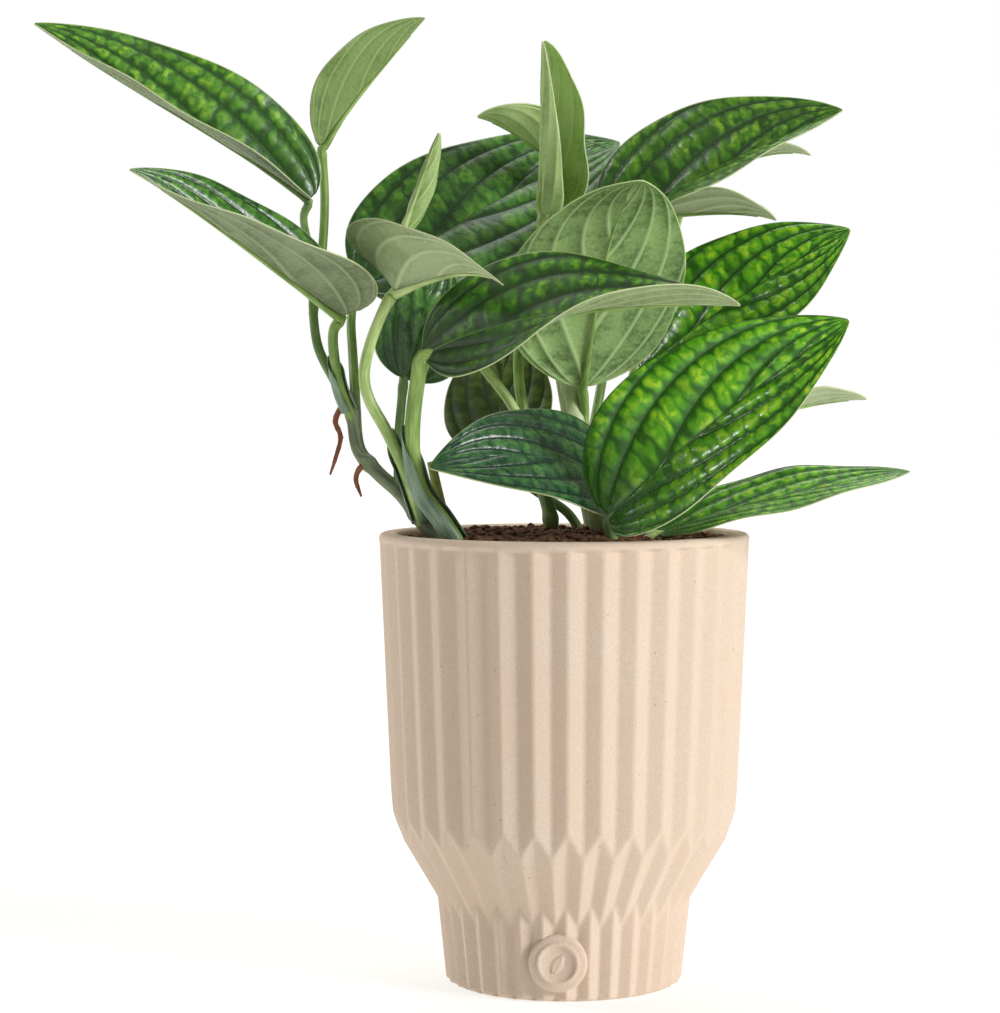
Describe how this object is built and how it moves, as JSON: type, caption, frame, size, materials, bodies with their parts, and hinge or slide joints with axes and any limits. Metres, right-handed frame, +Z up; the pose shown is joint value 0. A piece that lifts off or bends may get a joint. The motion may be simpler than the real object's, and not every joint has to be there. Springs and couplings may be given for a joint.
{
  "type": "potted monstera plant",
  "caption": "Climbing aroid with quilted oval leaves on long petioles, growing from soil in a pleated, waisted stoneware pot.",
  "frame": {"origin": "centre of the pot's underside", "axes": "+Z up, -Y towards the front of the pot with the boss, +X to the right seen from the front"},
  "size_m": [0.3224, 0.167, 0.3661],
  "materials": {
    "pot": "matt unglazed, fine sandy speckle",
    "soil": "crumbly potting mix",
    "leaf": "glossy quilted leaf, paler underneath",
    "young_leaf": "satin young leaf",
    "petiole": "satin stalk",
    "stem": "satin stem",
    "root": "dry root"
  },
  "bodies": {
    "root": {"aerial_root_long": "root", "aerial_root_short": "root", "leaf_back_left": "leaf", "leaf_centre_upright": "leaf", "leaf_far_right": "leaf", "leaf_far_small": "leaf", "leaf_front_centre": "leaf", "leaf_front_pale": "leaf", "leaf_front_right": "leaf", "leaf_left": "leaf", "leaf_low_back": "leaf", "leaf_low_left": "leaf", "leaf_low_right": "leaf", "leaf_mid_left": "leaf", "leaf_right": "leaf", "leaf_right_pale": "leaf", "leaf_rolled_spike": "young_leaf", "leaf_top_narrow": "leaf", "leaf_upper_left": "leaf", "leaf_upper_right": "leaf", "leaf_young_side": "young_leaf", "leaf_young_upright": "young_leaf", "petiole_back_left": "petiole", "petiole_centre_upright": "petiole", "petiole_cut_stub": "petiole", "petiole_far_right": "petiole", "petiole_far_small": "petiole", "petiole_front_centre": "petiole", "petiole_front_pale": "petiole", "petiole_front_right": "petiole", "petiole_left": "petiole", "petiole_low_back": "petiole", "petiole_low_left": "petiole", "petiole_low_right": "petiole", "petiole_mid_left": "petiole", "petiole_right": "petiole", "petiole_right_pale": "petiole", "petiole_rolled_spike": "petiole", "petiole_top_narrow": "petiole", "petiole_upper_left": "petiole", "petiole_upper_right": "petiole", "petiole_young_side": "petiole", "petiole_young_upright": "petiole", "pot": "pot", "soil": "soil", "stem_centre": "stem", "stem_left": "stem", "stem_thin": "stem"}
  },
  "joints": []
}
